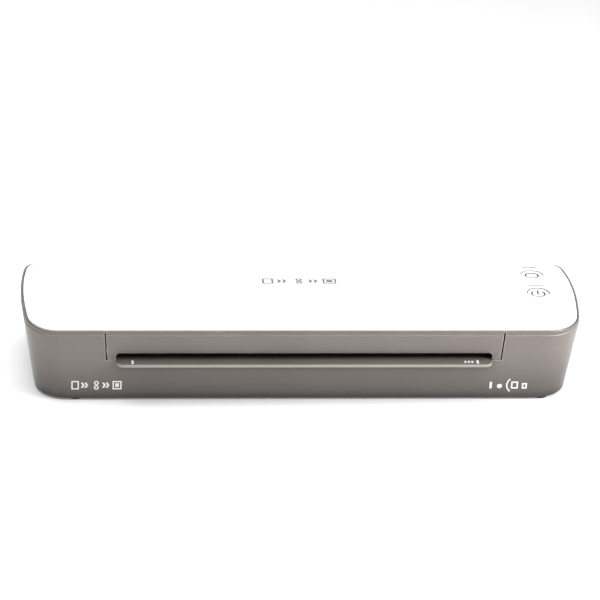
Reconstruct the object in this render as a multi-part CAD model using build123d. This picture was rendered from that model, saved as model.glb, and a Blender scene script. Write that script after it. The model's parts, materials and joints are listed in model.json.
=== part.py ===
from build123d import *
from math import atan2, cos, degrees, pi, radians, sin, sqrt, tan
import os

# Pouch laminator for A4 pouches, in millimetres. X runs along the entry slot, Y from front to back and
# Z up. The origin is under the middle of the body, on the surface that the rubber feet stand on.

# Body: a drafted tub with bowed ends, closed by a crowned cover that rolls down at the back
HALF_WIDTH = 185.4
FRONT_Y = -57.0
REAR_Y = 63.0
BASE_Z = 1.2
RIM_Z = 51.4
ABOVE_Z = 60.0
SIDE_DRAFT = 7.3
FRONT_DRAFT = 3.3
SIDE_BOW = 5.4
FRONT_CORNER_R = 22.5
REAR_CORNER_R = 29.0
BASE_EDGE_R = 1.2
SHOULDER_R = 1.0
SHOULDER_H = 3.2
LEDGE = 0.4
LEDGE_R = 0.3
WALL = 2.4
FLOOR_Z = BASE_Z + WALL

# Crown of the cover, and the tighter roll at its back
CROWN_R = 436.0
CROWN_TOP_Z = 54.5
CROWN_TOP_Y = -5.0
ROLL_R = 22.0
ROLL_Y = 42.0
COVER_T = 2.4
COVER_INSET = 2.0
COVER_GAP = 0.35
COVER_EDGE_R = 0.5
COVER_LOW_Z = 38.0

# Front visor, entry slot and entry tray
VISOR_HALF_TOP = 130.6
VISOR_HALF_LOW = 128.9
VISOR_LOW_Z = 30.5
VISOR_GAP = 1.1
SLOT_HALF = 123.6
SLOT_TOP_Z = 34.6
SLOT_CORNER_R = 1.2
SLOT_BEVEL = 1.2
VISOR_LUG_IN_X = 121.0
VISOR_STEP_X = 128.0
VISOR_LUG_OUT_X = 139.0
VISOR_LUG_Z = (38.0, 47.0)
VISOR_LUG_Y = FRONT_Y + 4.0
VISOR_BACK_Y = FRONT_Y + 6.6
VISOR_SCREW_X = 135.0
VISOR_SCREW_Z = 42.5
TRAY_HALF = 123.2
TRAY_FRONT_Y = -63.0
TRAY_REAR_Y = -42.0
TRAY_TOP_Z = 30.3
TRAY_T = 2.2
TRAY_CORNER_R = 4.5
TRAY_EDGE_R = 0.9

# Exit slot in the rear wall
EXIT_HALF = 119.0
EXIT_LOW_Z = 29.3
EXIT_TOP_Z = 34.9

# Side frames that carry the rollers, guides and heater plates
FRAME_X = 128.0
FRAME_T = 1.5
FRAME_FRONT_Y = -50.0
FRAME_REAR_Y = 46.0
FRAME_TOP_Z = 49.3
PAD_TOP_Z = 8.0
PAD_R = 4.5
FRAME_FOOT = 10.0
FRAME_FOOT_REAR_Y = 30.0
FRAME_SCREW_X = FRAME_X + 7.0
FRAME_SCREW_YS = (-34.0, 22.0)
TIE_ROD_R = 3.0
TIE_ROD_YZ = ((-30.0, 13.0), (32.0, 13.0), (34.0, 43.0))

# Rollers: two silicone sleeves on steel shafts, geared together at their left ends
ROLLER_Y = 5.0
LOWER_Z = 24.0
MODULE = 1.0
ROLLER_TEETH = 16
UPPER_Z = LOWER_Z + MODULE * ROLLER_TEETH
SLEEVE_R = 7.8
SLEEVE_HALF = 123.0
SHAFT_R = 4.0
SHAFT_LEFT_X = -139.5
SHAFT_RIGHT_X = 133.5
FIT = 0.05
BLOCK_HALF_Y = 6.5
BLOCK_LOW_Z = 35.2
BLOCK_TOP_Z = 45.0
BLOCK_FLANGE = 2.0
BLOCK_IN_X = 126.6
BEARING_OUT_X = 130.8
BORE_SPAN = (120.0, 140.0)
SPRING_SEAT_Z = 48.4
SPRING_R = 2.0
SPRING_WIRE_R = 0.35
GEAR_IN_X = 131.4
GEAR_W = 6.0
CLIP_T = 0.8
CLIP_GROOVE_R = 3.5
CLIP_R = 6.0
CLIP_MOUTH = 2.2
BUSH_R = 5.5
PRESSURE_ANGLE = radians(20)
ADDENDUM = 0.85
DEDENDUM = 1.15
BACKLASH = 0.12
FLANK_STEPS = 4

# Synchronous gear motor, behind the roller gears at the left end
PINION_TEETH = 14
MOTOR_Z = 27.0
PINION_REACH = MODULE * (ROLLER_TEETH + PINION_TEETH) / 2
MOTOR_Y = ROLLER_Y + sqrt(PINION_REACH ** 2 - (MOTOR_Z - LOWER_Z) ** 2)
MOTOR_R = 21.0
MOTOR_T = 15.0
MOTOR_EAR = 24.5
MOTOR_EAR_R = 3.5
MOTOR_EAR_T = 1.2
MOTOR_SHAFT_R = 2.5
BRACKET_X = -141.0
BRACKET_LOW_Y = -13.0
BRACKET_Z = (10.0, 48.0)
STANDOFF_R = 3.0
STANDOFF_YZ = ((-9.0, 14.0), (40.0, 14.0), (40.0, 44.0))

# Heater plates above and below the pouch path
PLATE_HALF = 120.0
PLATE_FRONT_Y = -40.0
PLATE_REAR_Y = -6.0
PLATE_T = 5.0
PLATE_GAP_LOW_Z = 30.6
PLATE_GAP_TOP_Z = 33.4
PLATE_LEAD_R = 2.5
ELEMENT_HALF = 110.0
ELEMENT_Y = (-21.0, -9.0)
ELEMENT_T = 2.2
SENSOR_Y = -30.0
THERMOSTAT_X = 60.0
THERMOSTAT_R = 5.5
FUSE_X = -40.0
FUSE_R = 1.9

# Pouch guides behind the rollers and behind the entry slot
GUIDE_T = 1.2
GUIDE_LOW_Z = 29.8
GUIDE_TOP_Z = 34.2
GUIDE_FRONT_Y = 13.5
GUIDE_REAR_Y = 60.0

# Power button and ready light, one behind the other near the right end of the cover
BUTTON_X = 159.9
POWER_Y = -3.5
READY_Y = 28.0
BUTTON_HOLE_R = 7.7
BUTTON_R = 7.2
READY_R = 7.45
DISH_R = 6.8
DISH_DEPTH = 0.8
DISH_DROP = 0.5
RING_OUT_R = 4.9
RING_IN_R = 3.8
RING_DEPTH = 0.9
RING_TALL = 4.0
POWER_GAP = 3.0
POWER_BAR_IN = -0.2
CUP_R = 9.2
POWER_CUP_Z = 44.0
CUP_FLOOR = 1.2
STEM_R = 2.3
STEM_HOLE_R = 2.8
STEM_END_Z = 40.0
BUTTON_TRAVEL = 1.5
CAP_SKIRT = 3.7
READY_CUP_DEPTH = 4.6
STEM_BAND = (POWER_CUP_Z - 1.0, POWER_CUP_Z - 0.2)
STEM_NECK = 0.5
BUTTON_CLIP_R = 4.2
RETURN_SPRING_R = 4.6
RETURN_WIRE_R = 0.3

# Control board under the buttons
BOARD_X = 157.0
BOARD_Y = 10.0
BOARD_SIZE = (38.0, 58.0)
BOARD_LOW_Z = 32.0
BOARD_T = 1.6
BOARD_TOP_Z = BOARD_LOW_Z + BOARD_T
BOARD_SCREW_PITCH = (28.0, 52.0)
BOARD_POST_R = 3.0
BOARD_SCREW_R = 1.25
SWITCH_HALF = 3.0
SWITCH_T = 3.5
SWITCH_PLUNGER_R = 1.75
LED_R = 1.5
LED_T = 3.5
POWER_LED_X = BUTTON_X + 6.5
RELAY_X, RELAY_Y, RELAY_T = (140.5, 150.5), (4.0, 22.0), 9.0
TERMINAL_X, TERMINAL_Y, TERMINAL_T = (147.0, 165.0), (33.0, 38.5), 7.0
TERMINAL_SCREW_XS = (150.0, 156.0, 162.0)
TERMINAL_SCREW_R = 1.6
CAPACITOR_R, CAPACITOR_T = 3.2, 8.0
CAPACITOR_XY = ((170.0, 6.0), (170.0, 14.0))

# Fixings, feet, vents and the cord gland
POST_XY = ((-160.0, -38.0), (150.0, -38.0), (-160.0, 46.0), (160.0, 46.0))
POST_R = 3.5
POST_LOW_Z = 20.0
BOSS_R = 5.0
SCREW_R = 1.5
SCREW_HEAD_R = 2.8
SCREW_HEAD_T = 2.0
FOOT_R = 5.0
FOOT_RECESS = 0.8
FOOT_XY = {
    "front_left": (-149.5, -47.3),
    "front_right": (158.2, -47.3),
    "rear_left": (-146.0, 46.0),
    "rear_right": (146.0, 46.0),
}
VENT_PITCH = 6.0
VENT_COUNT = 7
VENT_SIZE = (3.0, 22.0)
VENT_X = 153.0
GLAND_X = -150.0
GLAND_Z = 16.0
GLAND_HOLE_R = 5.0
GLAND_FLANGE_R = 7.0
GLAND_FLANGE_T = 1.2
GLAND_BORE_R = 3.3
GLAND_NECK_Y = REAR_Y - WALL - 3.0
GLAND_LIP = 1.6


def box(x, y, z):
    """A block between the limits given as (low, high) pairs."""
    size = [high - low for low, high in (x, y, z)]
    centre = [(high + low) / 2 for low, high in (x, y, z)]
    return Pos(*centre) * Box(*size)


def rod_x(radius, x, y, z):
    """A cylinder along X, between the two x limits, at (y, z)."""
    return Pos((x[0] + x[1]) / 2, y, z) * Rot(Y=90) * Cylinder(radius, abs(x[1] - x[0]))


def rod_y(radius, x, y, z):
    """A cylinder along Y, between the two y limits, at (x, z)."""
    return Pos(x, (y[0] + y[1]) / 2, z) * Rot(X=90) * Cylinder(radius, abs(y[1] - y[0]))


def rod_z(radius, x, y, z):
    """An upright cylinder between the two z limits, at (x, y)."""
    return Pos(x, y, (z[0] + z[1]) / 2) * Cylinder(radius, abs(z[1] - z[0]))


def outline(z, inset):
    """Plan outline of the body at height z, drawn in by inset."""
    fall = (RIM_Z - z) / (RIM_Z - BASE_Z)
    side = HALF_WIDTH - SIDE_DRAFT * fall - inset
    front = FRONT_Y + FRONT_DRAFT * fall + inset
    rear = REAR_Y - inset
    middle = (front + rear) / 2
    corner = side - SIDE_BOW
    edges = [
        Line((-corner, front, z), (corner, front, z)),
        ThreePointArc((corner, front, z), (side, middle, z), (corner, rear, z)),
        Line((corner, rear, z), (-corner, rear, z)),
        ThreePointArc((-corner, rear, z), (-side, middle, z), (-corner, front, z)),
    ]
    face = Face(Wire(edges))
    face = face.fillet_2d(FRONT_CORNER_R - inset, face.vertices().group_by(Axis.Y)[0])
    return face.fillet_2d(REAR_CORNER_R - inset, face.vertices().group_by(Axis.Y)[-1])


def body(inset, low_z):
    """The drafted body, drawn in by inset, from low_z to above the crown."""
    return loft([outline(low_z, inset), outline(ABOVE_Z, inset)], ruled=True)


def under_crown(inset):
    """Everything under the crowned top and its rear roll, drawn in by inset."""
    crown_z = CROWN_TOP_Z - CROWN_R
    roll_z = crown_z + sqrt((CROWN_R - ROLL_R) ** 2 - (ROLL_Y - CROWN_TOP_Y) ** 2)
    front = FRONT_Y - 10
    seam = degrees(atan2(roll_z - crown_z, ROLL_Y - CROWN_TOP_Y))
    ahead = front - CROWN_TOP_Y
    start = degrees(atan2(sqrt((CROWN_R - inset) ** 2 - ahead ** 2), ahead))
    crown = CenterArc((CROWN_TOP_Y, crown_z), CROWN_R - inset, seam, start - seam)
    roll = CenterArc((ROLL_Y, roll_z), ROLL_R - inset, 0, seam)
    sides = Polyline(roll @ 0, (ROLL_Y + ROLL_R - inset, -10), (front, -10), crown @ 1)
    return extrude(Plane.YZ * make_face([crown, roll, sides]), amount=HALF_WIDTH + 5, both=True)


def crown_z_at(y):
    """Height of the crown at y."""
    return CROWN_TOP_Z - CROWN_R + sqrt(CROWN_R ** 2 - (y - CROWN_TOP_Y) ** 2)


def envelope():
    """The outside of the whole body: a soft shoulder band that stands back a little from the walls."""
    walls = body(0, BASE_Z) & Pos(0, 0, -SHOULDER_H) * under_crown(0)
    walls = fillet(walls.edges().group_by(Axis.Z)[0], BASE_EDGE_R)
    band = body(LEDGE, BASE_Z + WALL) & under_crown(0)
    return soften_rim(walls, LEDGE_R) + soften_rim(band, SHOULDER_R)


def soften_rim(solid, radius):
    """Rounds the edge between the top of a body and its walls."""
    rim = [edge for edge in solid.edges() if edge.bounding_box().min.Z > EXIT_LOW_Z]
    return fillet([edge for edge in rim if not is_roll_seam(edge)], radius)


def is_roll_seam(edge):
    """True for the smooth seam where the crown turns into its rear roll."""
    return edge.length > HALF_WIDTH and FRONT_Y + 9 < edge.center().Y < REAR_Y - 9


def casing():
    """Walls and floor of the body, rebated along the rim for the cover."""
    rebate = body(COVER_INSET - COVER_GAP, COVER_LOW_Z) - under_crown(COVER_T)
    return envelope() - body(WALL, FLOOR_Z) - rebate


def visor_region(gap):
    """The tapered part of the front wall that the visor fills, grown by gap."""
    low, top = VISOR_HALF_LOW + gap, VISOR_HALF_TOP + gap
    low_z, top_z = VISOR_LOW_Z - gap / 2, RIM_Z + 4
    corners = ((-low, low_z), (low, low_z), (top, top_z), (-top, top_z))
    face = make_face(Polyline(*corners, close=True))
    return Pos(0, FRONT_Y + 4, 0) * extrude(Plane.XZ * face, amount=10, both=True)


def entry_notch():
    """The entry slot as a block through the front wall, with round upper corners."""
    block = box((-SLOT_HALF, SLOT_HALF), (FRONT_Y - 8, FRONT_Y + 12), (VISOR_LOW_Z - 6, SLOT_TOP_Z))
    corners = block.edges().filter_by(Axis.Y).group_by(Axis.Z)[-1]
    return fillet(corners, SLOT_CORNER_R)


def front_visor():
    """Centre strip of the front wall, over the entry slot, with a lug behind each end."""
    visor = casing() & visor_region(0)
    visor -= entry_notch()
    edge_y = FRONT_Y + FRONT_DRAFT * (RIM_Z - SLOT_TOP_Z) / (RIM_Z - BASE_Z)
    bevel = 2 * (SLOT_HALF - SLOT_CORNER_R)
    visor -= Pos(0, edge_y, SLOT_TOP_Z) * Rot(X=45) * Box(bevel, SLOT_BEVEL, SLOT_BEVEL)
    for side in (-1, 1):
        step = sorted((side * VISOR_LUG_IN_X, side * VISOR_STEP_X))
        lug = sorted((side * VISOR_LUG_IN_X, side * VISOR_LUG_OUT_X))
        visor += box(step, (FRONT_Y + 2, VISOR_BACK_Y), VISOR_LUG_Z)
        visor += box(lug, (VISOR_LUG_Y, VISOR_BACK_Y), VISOR_LUG_Z)
        visor -= rod_y(SCREW_R, side * VISOR_SCREW_X, (FRONT_Y, VISOR_BACK_Y + 1), VISOR_SCREW_Z)
    return visor


def floor_screw_hole(x, y):
    """Hole in a cover boss, with a wide recess for the screw head below its web."""
    head = rod_z(SCREW_HEAD_R + 0.3, x, y, (0, POST_LOW_Z - 8))
    return head + rod_z(SCREW_R + FIT, x, y, (0, POST_LOW_Z + 1))


def lower_housing():
    """Tub of the body, with its bosses, slots, vents and gland hole."""
    tub = casing() - visor_region(VISOR_GAP)
    slot_z = (TRAY_TOP_Z - TRAY_T - 0.1, SLOT_TOP_Z)
    tub -= box((-SLOT_HALF, SLOT_HALF), (FRONT_Y - 8, FRONT_Y + 12), slot_z)
    exit_slot = box((-EXIT_HALF, EXIT_HALF), (REAR_Y - 6, REAR_Y + 4), (EXIT_LOW_Z, EXIT_TOP_Z))
    tub -= fillet(exit_slot.edges().filter_by(Axis.Y), 1.5)
    for side in (-1, 1):
        for y in FRAME_SCREW_YS:
            tub += rod_z(PAD_R, side * FRAME_SCREW_X, y, (FLOOR_Z, PAD_TOP_Z))
            tub -= rod_z(SCREW_R, side * FRAME_SCREW_X, y, (FLOOR_Z, PAD_TOP_Z + 1))
        screw_y = (FRONT_Y + 1.4, FRONT_Y + 8)
        tub -= rod_y(SCREW_R + 0.2, side * VISOR_SCREW_X, screw_y, VISOR_SCREW_Z)
    for x, y in board_screw_places():
        tub += rod_z(BOARD_POST_R, x, y, (FLOOR_Z, BOARD_LOW_Z))
        tub -= rod_z(BOARD_SCREW_R, x, y, (BOARD_LOW_Z - 8, BOARD_LOW_Z + 1))
    for x, y in POST_XY:
        tub += rod_z(BOSS_R, x, y, (FLOOR_Z, POST_LOW_Z))
        tub -= floor_screw_hole(x, y)
    for x, y in FOOT_XY.values():
        tub -= rod_z(FOOT_R, x, y, (0, BASE_Z + FOOT_RECESS))
    vent = extrude(SlotOverall(VENT_SIZE[1], VENT_SIZE[0], rotation=90), amount=8)
    for side in (-1, 1):
        for spot in GridLocations(VENT_PITCH, 0, VENT_COUNT, 1):
            tub -= Pos(side * VENT_X, 0, 0) * spot * vent
    tub += rod_y(GLAND_FLANGE_R + 2, GLAND_X, (GLAND_NECK_Y, REAR_Y - WALL + 0.5), GLAND_Z)
    tub -= rod_y(GLAND_HOLE_R, GLAND_X, (REAR_Y - 8, REAR_Y + 1), GLAND_Z)
    tub -= rod_y(GLAND_FLANGE_R, GLAND_X, (REAR_Y - GLAND_FLANGE_T, REAR_Y + 1), GLAND_Z)
    return tub


def button_cup(y, low_z, floor_hole_r):
    """The round well under a button: its outside, and the space cut out of it."""
    wall = rod_z(CUP_R, BUTTON_X, y, (low_z, ABOVE_Z)) & under_crown(COVER_T / 2)
    well = rod_z(BUTTON_HOLE_R, BUTTON_X, y, (low_z + CUP_FLOOR, ABOVE_Z))
    return wall, leaning(well + rod_z(floor_hole_r, BUTTON_X, y, (low_z - 2, ABOVE_Z)), y)


def top_cover():
    """Crowned cover, with four screw posts and the wells of the button and the light."""
    cover = body(COVER_INSET, COVER_LOW_Z) & (under_crown(0) - under_crown(COVER_T))
    wide = [face for face in cover.faces() if face.bounding_box().size.X > 2 * HALF_WIDTH - 20]
    crown = max(wide, key=lambda face: face.center().Z)
    cover = fillet([edge for edge in crown.edges() if edge.center().Y < ROLL_Y - 1], COVER_EDGE_R)
    for x, y in POST_XY:
        cover += rod_z(POST_R, x, y, (POST_LOW_Z, ABOVE_Z)) & under_crown(COVER_T / 2)
        cover -= rod_z(SCREW_R + FIT, x, y, (POST_LOW_Z - 1, POST_LOW_Z + 14))
    cups = ((POWER_Y, POWER_CUP_Z, STEM_HOLE_R), (READY_Y, ready_seat_z(), RING_OUT_R + 0.4))
    for y, low_z, hole_r in cups:
        wall, well = button_cup(y, low_z, hole_r)
        cover = cover + wall - well
    return cover


def ready_seat_z():
    """Underside of the shallow well that holds the ready light."""
    return crown_z_at(READY_Y) - READY_CUP_DEPTH


def entry_tray():
    """Lip that the pouch is fed over, wide behind the wall and round at its front corners."""
    low = TRAY_TOP_Z - TRAY_T
    lip = box((-TRAY_HALF, TRAY_HALF), (TRAY_FRONT_Y, TRAY_REAR_Y), (low, TRAY_TOP_Z))
    lip = fillet(lip.edges().filter_by(Axis.Z).group_by(Axis.Y)[0], TRAY_CORNER_R)
    level = [edge for edge in lip.edges() if edge.bounding_box().size.Z < 0.1]
    lip = fillet([edge for edge in level if edge.center().Y < FRONT_Y - 1], TRAY_EDGE_R)
    return lip + box((-FRAME_X, FRAME_X), (FRONT_Y + 4.6, TRAY_REAR_Y), (low, TRAY_TOP_Z))


def entry_guide():
    """Strip over the pouch path, just behind the visor."""
    low = SLOT_TOP_Z + 0.2
    depth = (FRAME_FRONT_Y + 0.5, PLATE_FRONT_Y - 1)
    strip = box((-FRAME_X, FRAME_X), depth, (low, low + GUIDE_T))
    for side in (-1, 1):
        tab = sorted((side * FRAME_X, side * (FRAME_X - FRAME_T)))
        strip += box(tab, depth, (low, low + 9))
    return strip


def exit_guide(low_z, tab_z, tab_y):
    """Plate behind the rollers, with a bent tab against each side frame."""
    plate = box((-FRAME_X, FRAME_X), (GUIDE_FRONT_Y, FRAME_REAR_Y), (low_z, low_z + GUIDE_T))
    plate += box((-EXIT_HALF, EXIT_HALF), (FRAME_REAR_Y, GUIDE_REAR_Y), (low_z, low_z + GUIDE_T))
    for side in (-1, 1):
        plate += box(sorted((side * FRAME_X, side * (FRAME_X - FRAME_T))), tab_y, tab_z)
    return plate


def side_frame(side):
    """Bent steel plate with the bearing hole, the window of the upper bearing and a screwed foot."""
    inner, outer = side * FRAME_X, side * (FRAME_X + FRAME_T)
    wall = sorted((inner, outer))
    plate = box(wall, (FRAME_FRONT_Y, FRAME_REAR_Y), (PAD_TOP_Z, FRAME_TOP_Z))
    plate = chamfer(plate.edges().filter_by(Axis.X).group_by(Axis.Z)[-1], 5.0)
    foot = sorted((inner, outer + side * FRAME_FOOT))
    plate += box(foot, (FRAME_FRONT_Y, FRAME_FOOT_REAR_Y), (PAD_TOP_Z, PAD_TOP_Z + FRAME_T))
    span = (min(wall) - 1, max(wall) + 1)
    plate -= rod_x(BUSH_R, span, ROLLER_Y, LOWER_Z)
    window = (ROLLER_Y - BLOCK_HALF_Y - 0.2, ROLLER_Y + BLOCK_HALF_Y + 0.2)
    plate -= box(span, window, (BLOCK_LOW_Z - 0.1, SPRING_SEAT_Z))
    for y in FRAME_SCREW_YS:
        plate -= rod_z(SCREW_R + FIT, side * FRAME_SCREW_X, y, (PAD_TOP_Z - 1, PAD_TOP_Z + 3))
    return plate


def tie_rods():
    """Cross bars that hold the two side frames apart."""
    return Compound([rod_x(TIE_ROD_R, (-FRAME_X, FRAME_X), y, z) for y, z in TIE_ROD_YZ])


def lower_bushes():
    """Flanged bushes of the lower roller, one in each side frame."""
    bushes = []
    for side in (-1, 1):
        bush = rod_x(BUSH_R, (side * BLOCK_IN_X, side * BEARING_OUT_X), ROLLER_Y, LOWER_Z)
        bush += rod_x(BUSH_R + 1.4, (side * BLOCK_IN_X, side * FRAME_X), ROLLER_Y, LOWER_Z)
        bushes.append(bush - roller_bore(side, LOWER_Z))
    return Compound(bushes)


def roller_bore(side, z):
    """The running bore of a roller shaft through the bearing at one end."""
    return rod_x(SHAFT_R + FIT, [side * x for x in BORE_SPAN], ROLLER_Y, z)


def upper_bearings():
    """Sliding bearing blocks of the upper roller, flanged inside the side frames."""
    half, height = BLOCK_HALF_Y, (BLOCK_LOW_Z, BLOCK_TOP_Z)
    wide = half + BLOCK_FLANGE
    blocks = []
    for side in (-1, 1):
        through = sorted((side * BLOCK_IN_X, side * BEARING_OUT_X))
        flange = sorted((side * BLOCK_IN_X, side * (FRAME_X - 0.1)))
        block = box(through, (ROLLER_Y - half, ROLLER_Y + half), height)
        block += box(flange, (ROLLER_Y - wide, ROLLER_Y + wide), height)
        blocks.append(block - roller_bore(side, UPPER_Z))
    return Compound(blocks)


def coil(radius, wire_r, turns, low_z, top_z):
    """A coil spring standing between two heights, on the Z axis."""
    height = top_z - low_z - 2 * wire_r
    path = Helix(height / turns, height, radius, center=(0, 0, low_z + wire_r))
    section = Plane(origin=path @ 0, z_dir=path % 0) * Circle(wire_r)
    return sweep(section, path=path, is_frenet=True)


def pressure_springs():
    """Short coils that press the upper bearing blocks down, under the tops of the frame windows."""
    spring = coil(SPRING_R, SPRING_WIRE_R, 2.5, BLOCK_TOP_Z, SPRING_SEAT_Z)
    middle = (BLOCK_IN_X + BEARING_OUT_X) / 2
    return Compound([Pos(side * middle, ROLLER_Y, 0) * spring for side in (-1, 1)])


def roller_shaft(z):
    """Steel roller core with a groove for each retaining clip."""
    shaft = rod_x(SHAFT_R, (SHAFT_LEFT_X, SHAFT_RIGHT_X), ROLLER_Y, z)
    for span in clip_spans():
        shaft -= rod_x(SHAFT_R + 1, span, ROLLER_Y, z) - rod_x(CLIP_GROOVE_R, span, ROLLER_Y, z)
    return shaft


def clip_spans():
    """Where the clips sit along a roller: outside the gear, and outside the right bearing."""
    left = -(GEAR_IN_X + GEAR_W)
    return ((left - CLIP_T, left), (GEAR_IN_X, GEAR_IN_X + CLIP_T))


def roller_clips(z):
    """Open retaining clips of one roller."""
    clips = []
    for span in clip_spans():
        clip = rod_x(CLIP_R, span, ROLLER_Y, z) - rod_x(CLIP_GROOVE_R, span, ROLLER_Y, z)
        mouth = (ROLLER_Y - CLIP_MOUTH, ROLLER_Y + CLIP_MOUTH)
        clips.append(clip - box(span, mouth, (z - CLIP_R - 1, z)))
    return Compound(clips)


def roller_sleeve(z):
    """Silicone sleeve on the roller core."""
    whole = rod_x(SLEEVE_R, (-SLEEVE_HALF, SLEEVE_HALF), ROLLER_Y, z)
    return whole - rod_x(SHAFT_R, (-SLEEVE_HALF, SLEEVE_HALF), ROLLER_Y, z)


def gear(teeth, bore_r, y, z, phase):
    """Spur gear with involute flanks, one tooth pointing phase degrees from +Y towards +Z."""
    pitch_r = MODULE * teeth / 2
    base_r = pitch_r * cos(PRESSURE_ANGLE)
    tip_r = pitch_r + ADDENDUM
    root_r = pitch_r - DEDENDUM
    low_r = max(base_r, root_r)
    rise = (tip_r - low_r) / FLANK_STEPS
    radii = [root_r] + [low_r + rise * step for step in range(FLANK_STEPS + 1)]
    flank = [(r, tooth_half_angle(teeth, pitch_r, base_r, r)) for r in radii]
    points = []
    for tooth in range(teeth):
        middle = radians(phase) + 2 * pi * tooth / teeth
        points += [(r * cos(middle - a), r * sin(middle - a)) for r, a in flank]
        points += [(r * cos(middle + a), r * sin(middle + a)) for r, a in reversed(flank)]
    blank = make_face(Polyline(*points, close=True)) - Circle(bore_r)
    return Pos(-GEAR_IN_X - GEAR_W, y, z) * extrude(Plane.YZ * blank, amount=GEAR_W)


def tooth_half_angle(teeth, pitch_r, base_r, r):
    """Half the angle that a tooth spans at radius r, with half the backlash taken off."""
    turn = tan(PRESSURE_ANGLE) - PRESSURE_ANGLE
    half = pi / (2 * teeth) - BACKLASH / (2 * pitch_r) + turn
    if r <= base_r:
        return half
    slope = sqrt((r / base_r) ** 2 - 1)
    return half - (slope - atan2(slope, 1))


def mesh_phase(direction, teeth, phase, mate_teeth):
    """Tooth phase of a gear that meshes with another one, which lies in the given direction from it."""
    return direction + 180 - (180 - (direction - phase) * teeth) / mate_teeth


def lower_roller_gear():
    """Gear of the lower roller, with a tooth pointing straight up."""
    return gear(ROLLER_TEETH, SHAFT_R, ROLLER_Y, LOWER_Z, 90)


def upper_roller_gear():
    """Gear of the upper roller, in mesh with the lower one."""
    phase = mesh_phase(90, ROLLER_TEETH, 90, ROLLER_TEETH)
    return gear(ROLLER_TEETH, SHAFT_R, ROLLER_Y, UPPER_Z, phase)


def motor_pinion():
    """Pinion on the motor shaft, in mesh with the lower roller's gear."""
    direction = degrees(atan2(MOTOR_Z - LOWER_Z, MOTOR_Y - ROLLER_Y))
    phase = mesh_phase(direction, ROLLER_TEETH, 90, PINION_TEETH)
    return gear(PINION_TEETH, MOTOR_SHAFT_R, MOTOR_Y, MOTOR_Z, phase)


def motor_shaft():
    """Output shaft, from inside the gear motor to the far face of the pinion."""
    return rod_x(MOTOR_SHAFT_R, (BRACKET_X - FRAME_T - 6, -GEAR_IN_X + 0.6), MOTOR_Y, MOTOR_Z)


def gear_motor():
    """Flat round gear motor with two fixing ears and a terminal block."""
    face_x = BRACKET_X - FRAME_T
    motor = rod_x(MOTOR_R, (face_x - MOTOR_T, face_x), MOTOR_Y, MOTOR_Z)
    motor = chamfer(motor.edges().filter_by(GeomType.CIRCLE).group_by(Axis.X)[0], 1.5)
    ears = (MOTOR_Y - MOTOR_EAR, MOTOR_Y + MOTOR_EAR)
    plate = (face_x - MOTOR_EAR_T, face_x)
    motor += box(plate, ears, (MOTOR_Z - MOTOR_EAR_R, MOTOR_Z + MOTOR_EAR_R))
    for y in ears:
        motor += rod_x(MOTOR_EAR_R, plate, y, MOTOR_Z)
        motor -= rod_x(SCREW_R + FIT, (face_x - 2, face_x + 1), y, MOTOR_Z)
    terminals = (MOTOR_Z - MOTOR_R - 1.2, MOTOR_Z - 15)
    motor += box((face_x - 12, face_x - 4), (MOTOR_Y - 6, MOTOR_Y + 6), terminals)
    return motor - rod_x(MOTOR_SHAFT_R + FIT, (face_x - 8, face_x + 1), MOTOR_Y, MOTOR_Z)


def motor_bracket():
    """Plate that holds the motor outside the left gears."""
    depth = (BRACKET_LOW_Y, MOTOR_Y + MOTOR_EAR + 4)
    plate = box((BRACKET_X - FRAME_T, BRACKET_X), depth, BRACKET_Z)
    plate = fillet(plate.edges().filter_by(Axis.X), 3.0)
    span = (BRACKET_X - FRAME_T - 1, BRACKET_X + 1)
    plate -= rod_x(4.5, span, MOTOR_Y, MOTOR_Z)
    for y in (MOTOR_Y - MOTOR_EAR, MOTOR_Y + MOTOR_EAR):
        plate -= rod_x(SCREW_R, span, y, MOTOR_Z)
    return plate


def motor_standoffs():
    """Spacers between the left side frame and the motor bracket."""
    span = (BRACKET_X, -FRAME_X - FRAME_T)
    return Compound([rod_x(STANDOFF_R, span, y, z) for y, z in STANDOFF_YZ])


def heater_plate(low_z, top_z):
    """Aluminium plate with a rounded lead-in along its front edge."""
    plate = box((-PLATE_HALF, PLATE_HALF), (PLATE_FRONT_Y, PLATE_REAR_Y), (low_z, top_z))
    front = plate.edges().filter_by(Axis.X).group_by(Axis.Y)[0]
    path_z = (PLATE_GAP_LOW_Z + PLATE_GAP_TOP_Z) / 2
    return fillet(min(front, key=lambda edge: abs(edge.center().Z - path_z)), PLATE_LEAD_R)


def heater_element(low_z):
    """Flat heating strip clamped to a heater plate."""
    return box((-ELEMENT_HALF, ELEMENT_HALF), ELEMENT_Y, (low_z, low_z + ELEMENT_T))


def heater_end_blocks():
    """Insulating blocks that carry both heater plates at the side frames."""
    depth = (PLATE_FRONT_Y + 1, ROLLER_Y - BLOCK_HALF_Y - 4)
    height = (PLATE_GAP_LOW_Z - PLATE_T - 1, PLATE_GAP_TOP_Z + PLATE_T + 1)
    return Compound([box(sorted((side * PLATE_HALF, side * FRAME_X)), depth, height) for side in (-1, 1)])


def thermostat():
    """Round bimetal thermostat with two blade terminals, on the upper heater plate."""
    low = PLATE_GAP_TOP_Z + PLATE_T
    depth = (SENSOR_Y - 2, SENSOR_Y + 2)
    can = rod_z(THERMOSTAT_R, THERMOSTAT_X, SENSOR_Y, (low, low + 6))
    can += box((THERMOSTAT_X - 8, THERMOSTAT_X + 8), depth, (low, low + 1))
    for x in (THERMOSTAT_X - 2.5, THERMOSTAT_X + 2.5):
        can += box((x - 0.4, x + 0.4), depth, (low + 5, low + 10))
    return can


def thermal_fuse():
    """Thermal fuse held in a saddle on the upper heater plate."""
    low = PLATE_GAP_TOP_Z + PLATE_T
    saddle = box((FUSE_X - 6, FUSE_X + 6), (SENSOR_Y - 3, SENSOR_Y + 3), (low, low + 1.6))
    return saddle + rod_x(FUSE_R, (FUSE_X - 10, FUSE_X + 10), SENSOR_Y, low + 2.6)


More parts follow.
